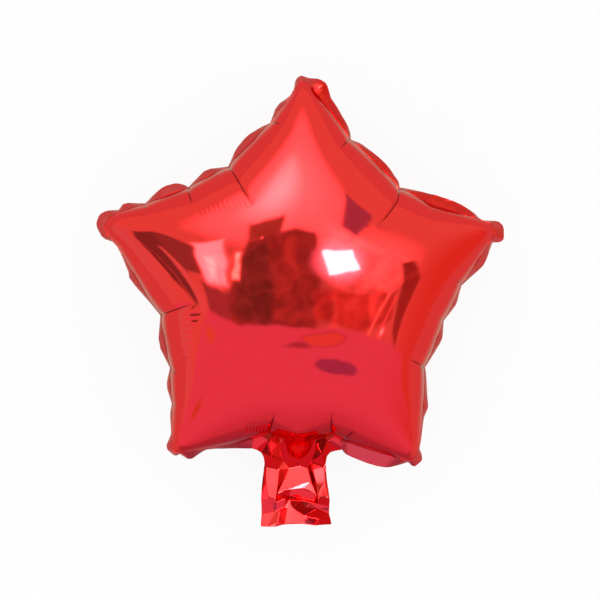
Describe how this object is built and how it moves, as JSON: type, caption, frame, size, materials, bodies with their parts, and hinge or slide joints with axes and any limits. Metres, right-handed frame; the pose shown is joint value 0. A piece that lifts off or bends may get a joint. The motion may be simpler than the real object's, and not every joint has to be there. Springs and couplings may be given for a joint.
{
  "type": "foil balloon",
  "caption": "Star-shaped metallised foil balloon, blown up and lying on its back, with a scalloped heat-sealed edge and a flat filling tail.",
  "frame": {"origin": "middle of the flat spot that the back rests on, under the star's centre", "axes": "+Z out of the star's front face, +Y towards its top point, +X to the right as the front is seen with the top point up"},
  "size_m": [0.2264, 0.2502, 0.089],
  "materials": {
    "foil": "mirror-bright red metallised film"
  },
  "bodies": {
    "root": {"foil_star_balloon": "foil"}
  },
  "joints": []
}
